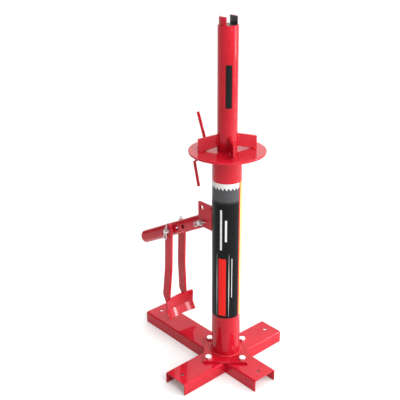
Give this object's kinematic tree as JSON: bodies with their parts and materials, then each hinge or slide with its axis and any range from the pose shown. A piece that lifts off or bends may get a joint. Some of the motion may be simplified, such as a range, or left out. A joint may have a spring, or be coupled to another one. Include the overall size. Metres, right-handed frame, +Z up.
{
  "type": "bead breaker",
  "caption": "Floor-standing hand bead breaker: cross-shaped base, post with finned wheel disc and forked top, pivoting lever arm and hanging curved shoe.",
  "frame": {"origin": "where the post's axis meets the floor the base stands on", "axes": "+Z up along the post; the long base leg and the lever arm point along -X; the side legs run along +Y and -Y"},
  "size_m": [0.5036, 0.368, 0.957],
  "materials": {
    "red_paint": "gloss red powder coat",
    "zinc_plate": "bright zinc plate",
    "dark_label": "printed vinyl film",
    "yellow_label": "printed vinyl film"
  },
  "bodies": {
    "base": {"long_base_channel": "red_paint", "side_leg_left": "red_paint", "side_leg_right": "red_paint", "base_plate": "red_paint", "plate_bolts": "zinc_plate", "plate_nuts": "zinc_plate", "lower_post": "red_paint", "post_base_weld": "red_paint", "front_label": "dark_label", "side_label": "yellow_label", "bracket_ear_near": "red_paint", "bracket_ear_far": "red_paint", "bracket_welds": "red_paint", "wheel_support_disc": "red_paint", "support_fin_1": "red_paint", "support_fin_2": "red_paint", "support_fin_3": "red_paint", "support_fin_4": "red_paint", "fin_welds": "red_paint", "upper_post": "red_paint", "forked_post_end": "red_paint", "arm_pivot_pin": "zinc_plate", "pivot_pin_clips": "zinc_plate"},
    "arm": {"breaker_arm_tube": "red_paint", "link_pin": "zinc_plate", "link_pin_clips": "zinc_plate"},
    "shoe_links": {"near_link": "red_paint", "far_link": "red_paint", "breaker_shoe": "red_paint", "shoe_welds": "red_paint"},
    "lock_rod": {"wheel_lock_rod": "red_paint"}
  },
  "joints": [
    {"name": "arm_swing", "type": "hinge", "parent": "base", "child": "arm", "pos_m": [-0.067, 0, 0.4155], "axis": [0, 1, 0], "range_deg": [0, 57]},
    {"name": "shoe_swing", "type": "hinge", "parent": "arm", "child": "shoe_links", "pos_m": [-0.20748, 0, 0.33891], "axis": [0, -1, 0], "range_deg": [-145, 33]},
    {"name": "lock_rod_slide", "type": "slide", "parent": "base", "child": "lock_rod", "axis": [-0.2837, -0.0707, 0.9563], "range_m": [-0.04, 0]}
  ]
}
